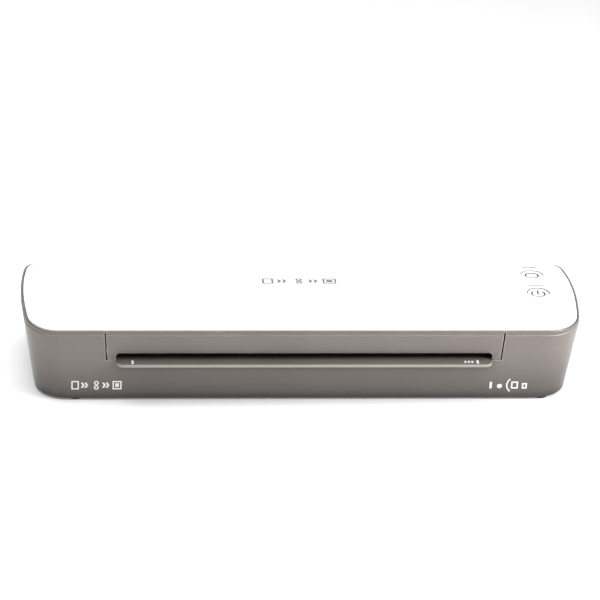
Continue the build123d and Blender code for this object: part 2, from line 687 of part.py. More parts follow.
def board_screw_places():
    """The four screw positions of the control board."""
    dx, dy = BOARD_SCREW_PITCH[0] / 2, BOARD_SCREW_PITCH[1] / 2
    return [(BOARD_X + sx * dx, BOARD_Y + sy * dy) for sx in (-1, 1) for sy in (-1, 1)]


def control_board():
    """Circuit board on four posts."""
    board = Pos(BOARD_X, BOARD_Y, (BOARD_LOW_Z + BOARD_TOP_Z) / 2) * Box(*BOARD_SIZE, BOARD_T)
    for x, y in board_screw_places():
        board -= rod_z(BOARD_SCREW_R + FIT, x, y, (BOARD_LOW_Z - 1, BOARD_TOP_Z + 1))
    return board


def tact_switch():
    """Push switch under the stem of the power button."""
    top = BOARD_TOP_Z + SWITCH_T
    width = (BUTTON_X - SWITCH_HALF, BUTTON_X + SWITCH_HALF)
    switch = box(width, (POWER_Y - SWITCH_HALF, POWER_Y + SWITCH_HALF), (BOARD_TOP_Z, top))
    plunger = (top, STEM_END_Z - BUTTON_TRAVEL - 0.1)
    return switch + rod_z(SWITCH_PLUNGER_R, BUTTON_X, POWER_Y, plunger)


def indicator_leds():
    """One lamp beside the power switch and one under the ready light."""
    top = BOARD_TOP_Z + LED_T
    leds = []
    for x, y in ((POWER_LED_X, POWER_Y), (BUTTON_X, READY_Y)):
        leds.append(rod_z(LED_R, x, y, (BOARD_TOP_Z, top)) + Pos(x, y, top) * Sphere(LED_R))
    return Compound(leds)


def relay():
    """Relay that switches the heaters."""
    block = box(RELAY_X, RELAY_Y, (BOARD_TOP_Z, BOARD_TOP_Z + RELAY_T))
    return fillet(block.edges().filter_by(Axis.Z), 0.6)


def terminal_block():
    """Mains terminals along the back edge of the board."""
    top = BOARD_TOP_Z + TERMINAL_T
    block = box(TERMINAL_X, TERMINAL_Y, (BOARD_TOP_Z, top))
    for x in TERMINAL_SCREW_XS:
        block -= rod_z(TERMINAL_SCREW_R, x, sum(TERMINAL_Y) / 2, (top - 3, top + 1))
    return block


def capacitors():
    """Round capacitors standing on the board."""
    height = (BOARD_TOP_Z, BOARD_TOP_Z + CAPACITOR_T)
    return Compound([rod_z(CAPACITOR_R, x, y, height) for x, y in CAPACITOR_XY])


def dished_cap(radius, low_z, y):
    """Round cap with a shallow dish in its top and a groove for the light ring."""
    top = crown_z_at(y) - DISH_DROP
    cap = rod_z(radius, BUTTON_X, y, (low_z, top))
    cap = fillet(cap.edges().group_by(Axis.Z)[-1], 0.25)
    return cap - dish(y) - light_groove(y)


def dish(y):
    """The ball that hollows out the top of a cap."""
    ball_r = (DISH_R ** 2 + DISH_DEPTH ** 2) / (2 * DISH_DEPTH)
    return Pos(BUTTON_X, y, crown_z_at(y) - DISH_DROP - DISH_DEPTH + ball_r) * Sphere(ball_r)


def light_groove(y):
    """Space for a light ring: whole for the ready light, a broken ring with a bar for the power button."""
    low = crown_z_at(y) - DISH_DROP - DISH_DEPTH - RING_DEPTH
    span = (low, low + RING_TALL)
    ring = rod_z(RING_OUT_R, BUTTON_X, y, span) - rod_z(RING_IN_R, BUTTON_X, y, span)
    if y == READY_Y:
        return ring
    mouth = (BUTTON_X - POWER_GAP, BUTTON_X + POWER_GAP)
    ring -= box(mouth, (y, y + RING_OUT_R + 1), (low - 1, low + RING_TALL + 1))
    bar = (RING_OUT_R - RING_IN_R) / 2
    return ring + box((BUTTON_X - bar, BUTTON_X + bar), (y + POWER_BAR_IN, y + RING_OUT_R + 0.2), span)


def leaning(part, y):
    """A piece turned about its centre on the cover, to follow the slope of the crown at y."""
    lean = degrees(atan2(CROWN_TOP_Y - y, CROWN_R))
    spot = Pos(BUTTON_X, y, crown_z_at(y))
    return spot * Rot(X=lean) * Pos(-BUTTON_X, -y, -crown_z_at(y)) * part


def power_button():
    """Dished button with a stem down to the push switch."""
    skirt_z = crown_z_at(POWER_Y) - CAP_SKIRT
    cap = dished_cap(BUTTON_R, skirt_z, POWER_Y)
    stem = rod_z(STEM_R, BUTTON_X, POWER_Y, (STEM_END_Z, skirt_z + 0.2))
    neck = rod_z(STEM_R - STEM_NECK, BUTTON_X, POWER_Y, STEM_BAND)
    return cap + stem - (rod_z(STEM_R + 1, BUTTON_X, POWER_Y, STEM_BAND) - neck)


def power_light_ring():
    """Light ring of the power button."""
    return light_groove(POWER_Y) - dish(POWER_Y)


def button_clip():
    """Clip that keeps the power button in its well."""
    clip = rod_z(BUTTON_CLIP_R, BUTTON_X, POWER_Y, STEM_BAND)
    clip -= rod_z(STEM_R - STEM_NECK, BUTTON_X, POWER_Y, STEM_BAND)
    mouth = (POWER_Y - 1.2, POWER_Y + 1.2)
    return clip - box((BUTTON_X, BUTTON_X + 6), mouth, (STEM_BAND[0] - 1, STEM_BAND[1] + 1))


def button_spring():
    """Return spring around the stem, between the floor of the well and the cap."""
    low, top = POWER_CUP_Z + CUP_FLOOR, crown_z_at(POWER_Y) - CAP_SKIRT
    return Pos(BUTTON_X, POWER_Y, 0) * coil(RETURN_SPRING_R, RETURN_WIRE_R, 3, low, top)


def ready_lens():
    """Fixed dished lens around the ready light."""
    return leaning(dished_cap(READY_R, ready_seat_z() + CUP_FLOOR, READY_Y), READY_Y)


def ready_light_ring():
    """Light ring of the ready light."""
    return leaning(light_groove(READY_Y) - dish(READY_Y), READY_Y)


def rubber_foot(x, y):
    """Soft round foot in its recess."""
    foot = rod_z(FOOT_R, x, y, (0, BASE_Z + FOOT_RECESS))
    return fillet(foot.edges().group_by(Axis.Z)[0], 0.4)


def cord_gland():
    """Rubber grommet, flush in the rear wall."""
    rear = (REAR_Y - GLAND_FLANGE_T, REAR_Y)
    neck = (GLAND_NECK_Y, REAR_Y - GLAND_FLANGE_T)
    gland = rod_y(GLAND_FLANGE_R, GLAND_X, rear, GLAND_Z) + rod_y(GLAND_HOLE_R, GLAND_X, neck, GLAND_Z)
    gland += rod_y(GLAND_HOLE_R + 1.5, GLAND_X, (GLAND_NECK_Y - GLAND_LIP, GLAND_NECK_Y), GLAND_Z)
    return gland - rod_y(GLAND_BORE_R, GLAND_X, (GLAND_NECK_Y - 3, REAR_Y + 1), GLAND_Z)


def upright_screw(x, y, head_z, end_z, radius=SCREW_R):
    """Screw along Z, with the underside of its head at head_z and its point at end_z."""
    way = 1 if head_z > end_z else -1
    head = rod_z(SCREW_HEAD_R, x, y, (head_z, head_z + way * SCREW_HEAD_T))
    head -= Pos(x, y, head_z + way * SCREW_HEAD_T) * (Box(3.4, 0.8, 1.6) + Box(0.8, 3.4, 1.6))
    return head + rod_z(radius, x, y, (end_z, head_z))


def housing_screws():
    """Screws from below the floor into the cover posts."""
    return Compound([upright_screw(x, y, POST_LOW_Z - 8, POST_LOW_Z + 12) for x, y in POST_XY])


def frame_screws():
    """Screws that hold the feet of the side frames to the floor."""
    top = PAD_TOP_Z + FRAME_T
    places = [(side * FRAME_SCREW_X, y) for side in (-1, 1) for y in FRAME_SCREW_YS]
    return Compound([upright_screw(x, y, top, FLOOR_Z + 0.4) for x, y in places])


def board_screws():
    """Screws of the control board."""
    low = BOARD_LOW_Z - 7
    return Compound([upright_screw(x, y, BOARD_TOP_Z, low, BOARD_SCREW_R) for x, y in board_screw_places()])


def motor_screws():
    """Screws through the motor's ears into the bracket."""
    face_x = BRACKET_X - FRAME_T - MOTOR_EAR_T
    screws = []
    for y in (MOTOR_Y - MOTOR_EAR, MOTOR_Y + MOTOR_EAR):
        head = rod_x(SCREW_HEAD_R, (face_x - SCREW_HEAD_T, face_x), y, MOTOR_Z)
        screws.append(head + rod_x(SCREW_R, (face_x, BRACKET_X + 1.5), y, MOTOR_Z))
    return Compound(screws)


def visor_screws():
    """Screws through the lugs behind the visor into the front wall."""
    head_y = (VISOR_BACK_Y, VISOR_BACK_Y + SCREW_HEAD_T)
    screws = []
    for side in (-1, 1):
        head = rod_y(SCREW_HEAD_R, side * VISOR_SCREW_X, head_y, VISOR_SCREW_Z)
        shank = rod_y(SCREW_R, side * VISOR_SCREW_X, (FRONT_Y + 1.6, VISOR_BACK_Y), VISOR_SCREW_Z)
        screws.append(head + shank)
    return Compound(screws)


parts = {
    "top_cover": top_cover(),
    "lower_housing": lower_housing(),
    "front_visor": front_visor(),
    "entry_tray": entry_tray(),
    "entry_guide": entry_guide(),
    "exit_guide_lower": exit_guide(GUIDE_LOW_Z - GUIDE_T, (20.0, GUIDE_LOW_Z), (26.0, 42.0)),
    "exit_guide_upper": exit_guide(GUIDE_TOP_Z, (GUIDE_TOP_Z, 42.0), (18.0, 29.0)),
    "side_frame_left": side_frame(-1),
    "side_frame_right": side_frame(1),
    "tie_rods": tie_rods(),
    "lower_heater_plate": heater_plate(PLATE_GAP_LOW_Z - PLATE_T, PLATE_GAP_LOW_Z),
    "upper_heater_plate": heater_plate(PLATE_GAP_TOP_Z, PLATE_GAP_TOP_Z + PLATE_T),
    "lower_heater_element": heater_element(PLATE_GAP_LOW_Z - PLATE_T - ELEMENT_T),
    "upper_heater_element": heater_element(PLATE_GAP_TOP_Z + PLATE_T),
    "heater_end_blocks": heater_end_blocks(),
    "thermostat": thermostat(),
    "thermal_fuse": thermal_fuse(),
    "lower_bushes": lower_bushes(),
    "upper_bearings": upper_bearings(),
    "pressure_springs": pressure_springs(),
    "lower_roller_shaft": roller_shaft(LOWER_Z),
    "lower_roller_sleeve": roller_sleeve(LOWER_Z),
    "lower_roller_gear": lower_roller_gear(),
    "lower_roller_clips": roller_clips(LOWER_Z),
    "upper_roller_shaft": roller_shaft(UPPER_Z),
    "upper_roller_sleeve": roller_sleeve(UPPER_Z),
    "upper_roller_gear": upper_roller_gear(),
    "upper_roller_clips": roller_clips(UPPER_Z),
    "gear_motor": gear_motor(),
    "motor_shaft": motor_shaft(),
    "motor_pinion": motor_pinion(),
    "motor_bracket": motor_bracket(),
    "motor_standoffs": motor_standoffs(),
    "motor_screws": motor_screws(),
    "control_board": control_board(),
    "tact_switch": tact_switch(),
    "indicator_leds": indicator_leds(),
    "relay": relay(),
    "terminal_block": terminal_block(),
    "capacitors": capacitors(),
    "power_button": power_button(),
    "power_light_ring": power_light_ring(),
    "button_spring": button_spring(),
    "button_clip": button_clip(),
    "ready_lens": ready_lens(),
    "ready_light_ring": ready_light_ring(),
    "cord_gland": cord_gland(),
    "housing_screws": housing_screws(),
    "frame_screws": frame_screws(),
    "board_screws": board_screws(),
    "visor_screws": visor_screws(),
}
for corner, (foot_x, foot_y) in FOOT_XY.items():
    parts["foot_" + corner] = rubber_foot(foot_x, foot_y)

os.makedirs("parts", exist_ok=True)
for name, part in parts.items():
    export_step(part, "parts/" + name + ".step")
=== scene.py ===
import json
import math

import bmesh
import bpy
from mathutils import Matrix, Vector
from mathutils.bvhtree import BVHTree


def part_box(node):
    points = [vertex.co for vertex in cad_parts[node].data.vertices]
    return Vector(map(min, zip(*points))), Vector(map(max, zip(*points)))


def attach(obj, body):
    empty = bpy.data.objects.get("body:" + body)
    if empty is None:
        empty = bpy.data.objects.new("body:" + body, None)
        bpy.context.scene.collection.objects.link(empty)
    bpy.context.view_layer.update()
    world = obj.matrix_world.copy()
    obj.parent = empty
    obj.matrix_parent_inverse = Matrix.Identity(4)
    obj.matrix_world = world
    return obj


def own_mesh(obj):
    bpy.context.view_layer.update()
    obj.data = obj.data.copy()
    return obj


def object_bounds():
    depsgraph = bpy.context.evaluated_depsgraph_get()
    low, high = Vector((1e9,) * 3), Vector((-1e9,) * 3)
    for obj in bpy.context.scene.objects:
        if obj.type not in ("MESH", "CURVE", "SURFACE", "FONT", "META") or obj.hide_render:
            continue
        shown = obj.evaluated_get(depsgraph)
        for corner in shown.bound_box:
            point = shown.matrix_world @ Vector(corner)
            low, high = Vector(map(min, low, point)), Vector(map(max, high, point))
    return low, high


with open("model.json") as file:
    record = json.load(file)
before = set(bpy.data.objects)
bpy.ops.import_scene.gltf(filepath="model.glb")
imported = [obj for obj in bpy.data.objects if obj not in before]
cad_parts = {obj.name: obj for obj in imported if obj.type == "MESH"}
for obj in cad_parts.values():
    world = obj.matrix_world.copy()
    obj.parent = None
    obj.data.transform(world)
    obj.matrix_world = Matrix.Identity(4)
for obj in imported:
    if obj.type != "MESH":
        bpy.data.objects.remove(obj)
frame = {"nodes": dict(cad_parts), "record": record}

CAD_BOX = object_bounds()
MM = 0.001

# Camera: where it stands around the body, and the point that it looks at
CAMERA_AZIMUTH = math.radians(-5.3)
CAMERA_ELEVATION = math.radians(25.88)
CAMERA_ROLL = math.radians(2.31)
CAMERA_DISTANCE = 2.251
CAMERA_LENS = 201.7
CAMERA_TARGET_Z = 0.027
AIM_RIGHT = 0.0011
AIM_UP = 0.01817

# Strength of the surroundings at the left and at the right
WORLD_LEFT = 0.05
WORLD_RIGHT = 0.4

# Softboxes: name, place, the point that each faces, width and height in metres, and power in watts
SOFTBOXES = (
    ("overhead", (0.0, 0.15, 1.25), (0, 0, 0), (1.3, 1.0), 13.0),
    ("key", (0.5, -0.3, 0.42), (0.08, 0, 0.03), (0.25, 0.25), 3.6),
    ("left_fill", (-0.42, 0.0, 0.9), (-0.42, 0.01, 0.0), (0.5, 0.9), 4.5),
)

# Floor: half its width in metres, and how much light it gives of its own
FLOOR_HALF = 6.0
FLOOR_GLOW = 0.15

# Ink: how far it stands proud, how deep it reaches into the surface, the longest edge in a mark that follows
# a curved surface, and how far outside the body the search for that surface begins
INK_PROUD = 0.05 * MM
INK_BURIED = 0.05 * MM
INK_STEP = 1.5 * MM
INK_START = 10 * MM

# Straight pieces in a quarter turn of a bar's round corner
CORNER_STEPS = 6

# Pictograms: the middle across and the middle back or up, then the width and the height
TOP_MARK = (0.5 * MM, 15.0 * MM, 50 * MM, 8.6 * MM)
FRONT_LEFT_MARK = (-136 * MM, 11.3 * MM, 33 * MM, 6.4 * MM)

# Middle of the size mark on the front, and the x of the tray's two pouch guides
SIZE_MARK_X = 135.4 * MM
SIZE_MARK_Z = 10.9 * MM
GUIDE_LEFT = -112.8 * MM
GUIDE_RIGHT = 113.6 * MM

# How near the parts around a corner, under the tray lip or in a gap have to be for painted shade to darken
# the colour there
CORNER_SHADE_REACH = 40 * MM
LIP_REACH = 7 * MM
GAP_REACH = 3 * MM

# The middle band of a noise value, which holds nearly all of it
NOISE_BAND = (0.3, 0.7)

# Width of the painted highlight band along an edge of the paint, and its pale colour
EDGE_HIGHLIGHT_WIDTH = 0.8 * MM
EDGE_HIGHLIGHT_COLOUR = (0.75, 0.71, 0.67)


# ---------------------------------------------------------------- materials

def new_material(name):
    """An empty node material with its shader; returns the material, its nodes, links and shader."""
    material = bpy.data.materials.new(name)
    material.use_nodes = True
    nodes, links = material.node_tree.nodes, material.node_tree.links
    shader = nodes["Principled BSDF"]
    return material, nodes, links, shader


def object_noise(nodes, links, scale, detail=3.0, stretch=(1.0, 1.0, 1.0)):
    """Noise in the object's own metres, so its grain has a real size; scale is in grains per metre."""
    coordinates = nodes.new("ShaderNodeTexCoord")
    mapping = nodes.new("ShaderNodeMapping")
    mapping.inputs["Scale"].default_value = stretch
    noise = nodes.new("ShaderNodeTexNoise")
    noise.inputs["Scale"].default_value = scale
    noise.inputs["Detail"].default_value = detail
    links.new(coordinates.outputs["Object"], mapping.inputs["Vector"])
    links.new(mapping.outputs["Vector"], noise.inputs["Vector"])
    return noise.outputs["Fac"]


def remap(nodes, links, source, before, after):
    """Maps a value from the range before to the range after; both are (start, end)."""
    node = nodes.new("ShaderNodeMapRange")
    node.inputs["From Min"].default_value, node.inputs["From Max"].default_value = before
    node.inputs["To Min"].default_value, node.inputs["To Max"].default_value = after
    links.new(source, node.inputs["Value"])
    return node.outputs["Result"]


def spread(nodes, links, source, low, high):
    """Maps a noise value from its usual middle band to the range low..high."""
    return remap(nodes, links, source, NOISE_BAND, (low, high))


def tint(nodes, links, shader, factor, colour, blend="MIX"):
    """Mixes one more colour into the shader's base colour, by factor."""
    mix = nodes.new("ShaderNodeMix")
    mix.data_type = "RGBA"
    mix.blend_type = blend
    mix.inputs["B"].default_value = (*colour, 1.0)
    links.new(factor, mix.inputs["Factor"])
    links.new(shader.inputs["Base Color"].links[0].from_socket, mix.inputs["A"])
    links.new(mix.outputs["Result"], shader.inputs["Base Color"])


def vary_colour(nodes, links, shader, source, dark, light):
    """Base colour that drifts between two close colours."""
    ramp = nodes.new("ShaderNodeValToRGB")
    for stop, place, colour in zip(ramp.color_ramp.elements, NOISE_BAND, (dark, light)):
        stop.position = place
        stop.color = (*colour, 1.0)
    links.new(source, ramp.inputs["Fac"])
    links.new(ramp.outputs["Color"], shader.inputs["Base Color"])


def add_bump(nodes, links, shader, source, strength, depth, edge=0.0):
    """Fine relief, depth in metres, over edges that catch the light as if rounded by edge."""
    bump = nodes.new("ShaderNodeBump")
    if edge:
        rounding = nodes.new("ShaderNodeBevel")
        rounding.samples = 6
        rounding.inputs["Radius"].default_value = edge
        links.new(rounding.outputs["Normal"], bump.inputs["Normal"])
    bump.inputs["Strength"].default_value = strength
    bump.inputs["Distance"].default_value = depth
    links.new(source, bump.inputs["Height"])
    links.new(bump.outputs["Normal"], shader.inputs["Normal"])


def surface(name, dark, light, roughness, grain, metallic=0.0, coat=0.0, relief=0.2, depth=0.02 * MM,
            drift=18.0, stretch=(1.0, 1.0, 1.0), gap_shade=0.0):
    """A solid finish: slow colour drift, roughness that varies within a range, and a fine relief.

    grain and drift are in grains per metre. gap_shade is the share of the colour that is left deep in a gap,
    as painted shade.
    """
    material, nodes, links, shader = new_material(name)
    shader.inputs["Metallic"].default_value = metallic
    shader.inputs["Coat Weight"].default_value = coat
    shader.inputs["Coat Roughness"].default_value = 0.06
    slow = object_noise(nodes, links, drift, stretch=stretch)
    fine = object_noise(nodes, links, grain, stretch=stretch)
    vary_colour(nodes, links, shader, slow, dark, light)
    if gap_shade:
        # painted shade in the gaps
        paint_shade(nodes, links, shader, GAP_REACH, 0.45, gap_shade)
    links.new(spread(nodes, links, fine, *roughness), shader.inputs["Roughness"])
    add_bump(nodes, links, shader, fine, relief, depth)
    return material


def flake_paint(name, dark, light):
    """Warm grey paint with fine metallic flakes under a satin coat, with painted shade in corners, toward the
    floor and under the tray lip, and painted highlights along the edges.
    """
    material, nodes, links, shader = new_material(name)
    shader.inputs["Metallic"].default_value = 0.35
    shader.inputs["Coat Weight"].default_value = 0.35
    shader.inputs["Coat Roughness"].default_value = 0.22
    flakes = nodes.new("ShaderNodeTexVoronoi")
    flakes.inputs["Scale"].default_value = 2600.0
    coordinates = nodes.new("ShaderNodeTexCoord")
    links.new(coordinates.outputs["Object"], flakes.inputs["Vector"])
    slow = object_noise(nodes, links, 14.0)
    blend = nodes.new("ShaderNodeMix")
    blend.data_type = "FLOAT"
    blend.inputs["Factor"].default_value = 0.35
    links.new(slow, blend.inputs["A"])
    links.new(flakes.outputs["Distance"], blend.inputs["B"])
    vary_colour(nodes, links, shader, blend.outputs["Result"], dark, light)
    # painted shade: the walls darker towards the floor and in corners
    paint_shade(nodes, links, shader, CORNER_SHADE_REACH, 0.45, 0.4)
    # painted shadow under the tray lip
    paint_shade(nodes, links, shader, LIP_REACH, 0.55, 0.35)
    # painted highlight along the edges
    paint_edge_highlights(nodes, links, shader)
    fine = object_noise(nodes, links, 1800.0, detail=2.0)
    links.new(spread(nodes, links, fine, 0.36, 0.46), shader.inputs["Roughness"])
    add_bump(nodes, links, shader, fine, 0.12, 0.02 * MM, 0.6 * MM)
    return material


def paint_edge_highlights(nodes, links, shader):
    """Painted highlight: paler paint along the edges, where a rounded normal leaves the true one."""
    rounded = nodes.new("ShaderNodeBevel")
    rounded.samples = 8
    rounded.inputs["Radius"].default_value = EDGE_HIGHLIGHT_WIDTH
    true = nodes.new("ShaderNodeNewGeometry")
    agree = nodes.new("ShaderNodeVectorMath")
    agree.operation = "DOT_PRODUCT"
    links.new(rounded.outputs["Normal"], agree.inputs[0])
    links.new(true.outputs["Normal"], agree.inputs[1])
    edge = remap(nodes, links, agree.outputs["Value"], (0.98, 0.80), (0.0, 0.9))
    tint(nodes, links, shader, edge, EDGE_HIGHLIGHT_COLOUR)


def paint_shade(nodes, links, shader, reach, closed, deepest):
    """Painted shade: darkens the base colour in corners nearer than reach, down to a share of deepest.

    closed is the share of open view, from 0 to 1, at which a corner is darkest.
    """
    corner = nodes.new("ShaderNodeAmbientOcclusion")
    corner.samples = 8
    corner.inputs["Distance"].default_value = reach
    shade = remap(nodes, links, corner.outputs["AO"], (closed, 1.0), (1.0, 0.0))
    tint(nodes, links, shader, shade, (deepest, deepest, deepest), "MULTIPLY")


def edge_lit(name, dark, light, painted_light_colour):
    """Satin plastic with painted light: paler on its upright faces and round edges, where the light falls."""
    material, nodes, links, shader = new_material(name)
    vary_colour(nodes, links, shader, object_noise(nodes, links, 18.0), dark, light)
    facing = nodes.new("ShaderNodeNewGeometry")
    split = nodes.new("ShaderNodeSeparateXYZ")
    links.new(facing.outputs["Normal"], split.inputs["Vector"])
    # painted light: upright faces and rounded edges made paler
    upright = remap(nodes, links, split.outputs["Z"], (0.9, 0.7), (0.0, 1.0))
    tint(nodes, links, shader, upright, painted_light_colour)
    fine = object_noise(nodes, links, 1500.0)
    links.new(spread(nodes, links, fine, 0.38, 0.5), shader.inputs["Roughness"])
    add_bump(nodes, links, shader, fine, 0.2, 0.02 * MM)
    return material


def glowing(name, colour, strength):
    """Translucent light ring, faintly lit."""
    material, nodes, links, shader = new_material(name)
    grain = object_noise(nodes, links, 900.0)
    deep = tuple(channel * 0.8 for channel in colour)
    vary_colour(nodes, links, shader, grain, deep, colour)
    links.new(spread(nodes, links, grain, 0.45, 0.55), shader.inputs["Roughness"])
    shader.inputs["Specular IOR Level"].default_value = 0.15
    shader.inputs["Emission Color"].default_value = (*colour, 1.0)
    shader.inputs["Emission Strength"].default_value = strength
    shader.inputs["Subsurface Weight"].default_value = 0.2
    shader.inputs["Subsurface Radius"].default_value = (0.4 * MM, 0.4 * MM, 0.4 * MM)
    return material


def build_materials():
    """One material for each of the record's slots, by slot name."""
    return {
        # the white gloss carries painted shade in its gaps
        "white_gloss": surface("white gloss", (0.90, 0.90, 0.895), (0.94, 0.94, 0.935), (0.16, 0.21), 900.0,
                               coat=0.5, relief=0.05, depth=0.01 * MM, gap_shade=0.3),
        "grey_shell": flake_paint("warm grey paint", (0.17, 0.146, 0.132), (0.208, 0.18, 0.164)),
        "grey_tray": edge_lit("tray grey", (0.12, 0.106, 0.096), (0.15, 0.133, 0.12), (0.36, 0.33, 0.30)),
        "black_steel": surface("black painted steel", (0.012, 0.012, 0.012), (0.02, 0.02, 0.02),
                               (0.5, 0.65), 1400.0),
        "red_light": glowing("red light ring", (0.03, 0.004, 0.004), 0.01),
        "green_light": glowing("green light ring", (0.006, 0.03, 0.014), 0.01),
        "black_rubber": surface("black rubber", (0.012, 0.012, 0.012), (0.03, 0.03, 0.03), (0.7, 0.85),
                                1200.0, relief=0.4, depth=0.05 * MM),
        "zinc_steel": surface("zinc plated steel", (0.50, 0.51, 0.52), (0.66, 0.67, 0.68), (0.25, 0.42),
                              400.0, metallic=1.0, drift=60.0),
        "bright_steel": surface("turned steel", (0.58, 0.58, 0.58), (0.68, 0.68, 0.68), (0.16, 0.3), 700.0,
                                metallic=1.0, stretch=(6.0, 1.0, 1.0)),
        "silicone": surface("red-brown silicone", (0.34, 0.08, 0.045), (0.42, 0.105, 0.06), (0.42, 0.55),
                            900.0),
        "acetal": surface("natural acetal", (0.78, 0.76, 0.69), (0.86, 0.84, 0.77), (0.3, 0.42), 1200.0),
        "bearing_plastic": surface("bearing plastic", (0.02, 0.02, 0.022), (0.04, 0.04, 0.042), (0.4, 0.55),
                                   1300.0),
        "heater_aluminium": surface("extruded aluminium", (0.72, 0.72, 0.73), (0.82, 0.82, 0.83), (0.2, 0.38),
                                    260.0, metallic=1.0, stretch=(0.05, 1.0, 1.0)),
        "heater_film": surface("amber film", (0.45, 0.20, 0.03), (0.60, 0.28, 0.05), (0.12, 0.2), 500.0,
                               coat=0.4),
        "phenolic": surface("brown phenolic", (0.12, 0.05, 0.02), (0.18, 0.08, 0.035), (0.35, 0.5), 800.0,
                            drift=120.0),
        "brass": surface("turned brass", (0.66, 0.49, 0.22), (0.78, 0.60, 0.30), (0.2, 0.32), 700.0,
                         metallic=1.0),
        "screw_steel": surface("screw steel", (0.48, 0.48, 0.49), (0.60, 0.60, 0.61), (0.22, 0.36), 900.0,
                               metallic=1.0),
        "board_green": surface("solder mask", (0.015, 0.14, 0.045), (0.03, 0.22, 0.08), (0.18, 0.3), 400.0,
                               drift=260.0, coat=0.3),
        "terminal_green": surface("terminal green", (0.03, 0.24, 0.09), (0.05, 0.30, 0.12), (0.35, 0.45),
                                  900.0),
        "capacitor_blue": surface("capacitor sleeve", (0.02, 0.04, 0.18), (0.03, 0.06, 0.25), (0.15, 0.25),
                                  900.0),
        "led_clear": surface("clear lamp", (0.72, 0.72, 0.74), (0.82, 0.82, 0.84), (0.06, 0.12), 900.0,
                             coat=0.6),
        "ink_grey": surface("grey ink", (0.16, 0.155, 0.15), (0.20, 0.195, 0.19), (0.35, 0.5), 1500.0),
        "ink_white": surface("white ink", (0.82, 0.81, 0.79), (0.90, 0.89, 0.87), (0.35, 0.5), 1500.0),
        "ink_label": surface("label ink", (0.03, 0.03, 0.029), (0.05, 0.05, 0.049), (0.35, 0.5), 1500.0),
    }


def finish_cad_nodes(materials):
    """Gives every CAD node the finish of its slot."""
    for part in frame["record"]["subparts"]:
        node = frame["nodes"][part["node"]]
        for slot in node.material_slots:
            slot.material = materials[part["material_slot"]]


def compress_springs():
    """Gives each coil spring, listed with the part that it pushes on, its own copy of its mesh.

    The seat that stays where it is is the spring's lower end, 0, or its upper end, 1.
    """
    springs = (("button_spring", "power_button_press", 0), ("pressure_springs", "upper_roller_lift", 1))
    for node, joint, seat in springs:
        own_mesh(frame["nodes"][node])


# ---------------------------------------------------------------- printed marks

def surface_tree(node):
    """Search tree of a CAD node's surface."""
    mesh = frame["nodes"][node].data
    return BVHTree.FromPolygons([v.co for v in mesh.vertices], [p.vertices for p in mesh.polygons])


def bar(x, y, width, height, corner=0.0):
    """Outline of a bar centred at (x, y), with round corners."""
    corner = min(corner, width / 2 - 1e-6, height / 2 - 1e-6)
    if corner <= 0:
        half_w, half_h = width / 2, height / 2
        return [(x - half_w, y - half_h), (x + half_w, y - half_h),
                (x + half_w, y + half_h), (x - half_w, y + half_h)]
    points = []
    for quarter, (sx, sy) in enumerate(((1, 1), (-1, 1), (-1, -1), (1, -1))):
        centre = (x + sx * (width / 2 - corner), y + sy * (height / 2 - corner))
        for step in range(CORNER_STEPS + 1):
            angle = math.pi / 2 * (quarter + step / CORNER_STEPS)
            points.append((centre[0] + corner * math.cos(angle), centre[1] + corner * math.sin(angle)))
    return points


def arc_band(x, y, radius, width, start, end):
    """Outline of a curved band around (x, y), between two angles in degrees."""
    steps = max(4, int(abs(end - start) / 8))
    angles = [math.radians(start + (end - start) * step / steps) for step in range(steps + 1)]
    outer, inner = (
        [(x + edge * math.cos(angle), y + edge * math.sin(angle)) for angle in angles]
        for edge in (radius + width / 2, radius - width / 2)
    )
    return outer + inner[::-1]


def frame_bars(x, y, width, height, line):
    """A sheet's outline as four bars."""
    return [
        bar(x, y + height / 2 - line / 2, width, line),
        bar(x, y - height / 2 + line / 2, width, line),
        bar(x - width / 2 + line / 2, y, line, height - 2 * line),
        bar(x + width / 2 - line / 2, y, line, height - 2 * line),
    ]


def chevron(x, y, height, line):
    """Arrow head that points to +x."""
    reach = height * 0.32
    return [(x - reach, y + height / 2), (x - reach + line, y + height / 2), (x + reach, y),
            (x - reach + line, y - height / 2), (x - reach, y - height / 2), (x + reach - line, y)]


def feed_pictogram(x, y, width, height):
    """A sheet, arrows, a pair of rollers, arrows and the finished sheet: how the machine is used."""
    line = height * 0.14
    roller = height * 0.26
    shapes = frame_bars(x - width * 0.42, y, width * 0.15, height, line)
    shapes += [chevron(x - width * (0.27 - 0.07 * step), y, height * 0.62, line * 1.6) for step in range(2)]
    for side in (-1, 1):
        shapes.append(arc_band(x, y + side * height * 0.27, roller * 0.72, roller * 0.55, 0, 179.9))
        shapes.append(arc_band(x, y + side * height * 0.27, roller * 0.72, roller * 0.55, 180, 359.9))
    shapes += [chevron(x + width * (0.15 + 0.07 * step), y, height * 0.62, line * 1.6) for step in range(2)]
    shapes += frame_bars(x + width * 0.41, y, width * 0.18, height, line)
    shapes.append(bar(x + width * 0.41, y, width * 0.18 - line * 4, height - line * 4))
    return shapes


